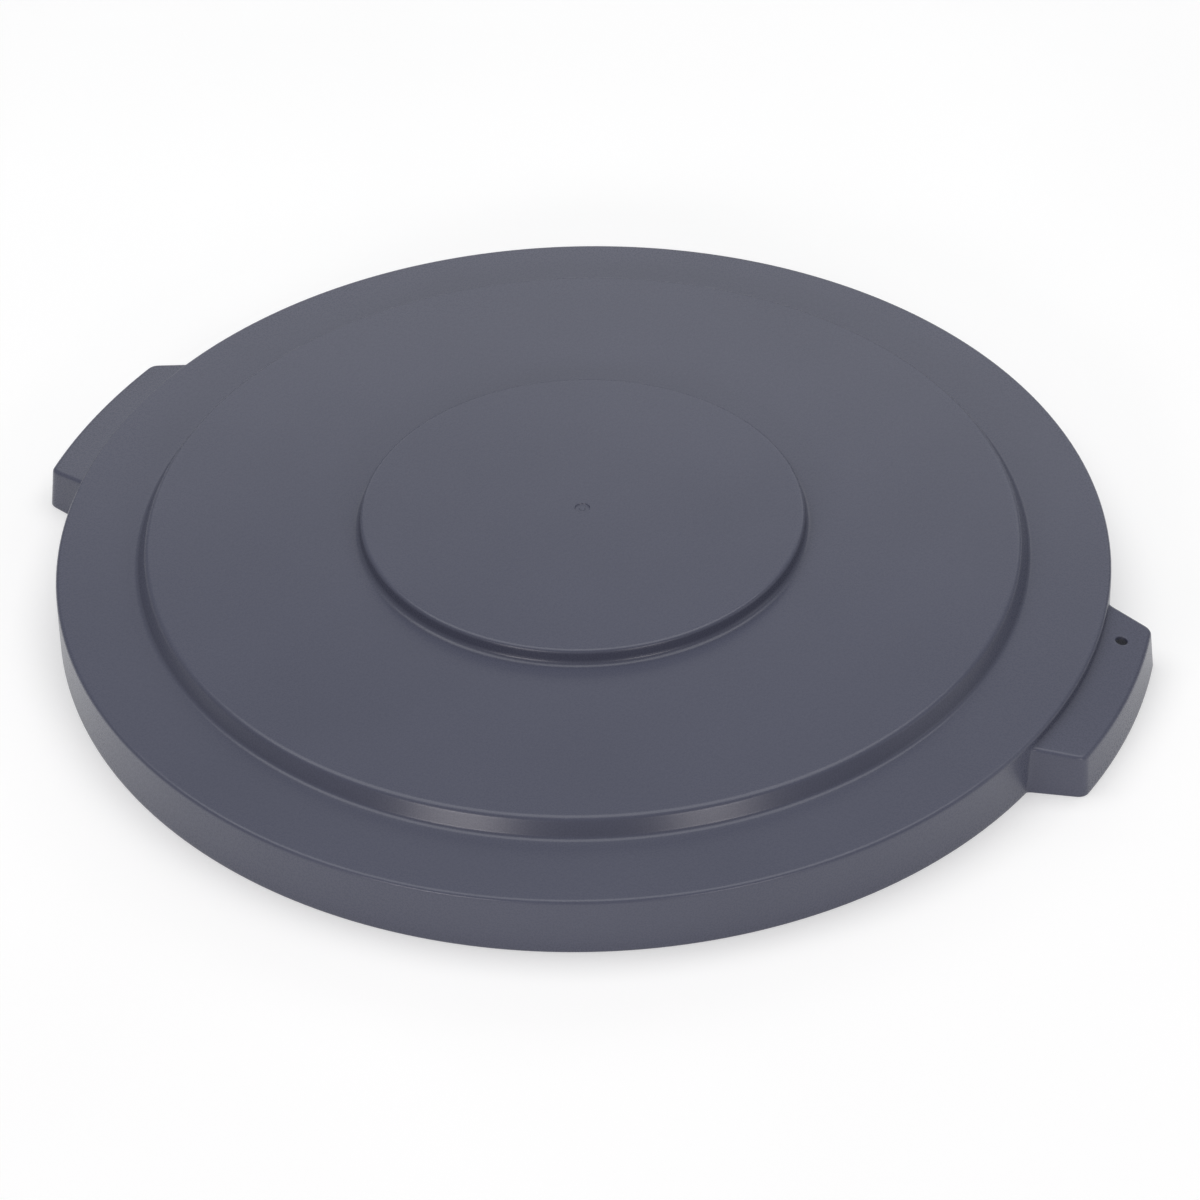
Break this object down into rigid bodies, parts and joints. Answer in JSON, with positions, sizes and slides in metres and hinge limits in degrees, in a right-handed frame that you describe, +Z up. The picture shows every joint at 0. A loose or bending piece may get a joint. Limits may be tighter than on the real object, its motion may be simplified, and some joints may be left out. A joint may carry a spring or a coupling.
{
  "type": "waste container lid",
  "caption": "Round one-piece plastic lid with a stepped raised top, a deep rim skirt and two opposite hollow grip lugs.",
  "frame": {"origin": "centre of the plane of the skirt's bottom edge, on the lid's axis", "axes": "+Z up along the lid's axis, out of the top; X through the two grip lugs, with the small hole in the +X lug on its +Y side; Y across them"},
  "size_m": [0.6234, 0.5716, 0.0506],
  "materials": {
    "lid_plastic": "fine matt moulded surface, slightly bluish mid grey"
  },
  "bodies": {
    "root": {"lid_moulding": "lid_plastic"}
  },
  "joints": []
}
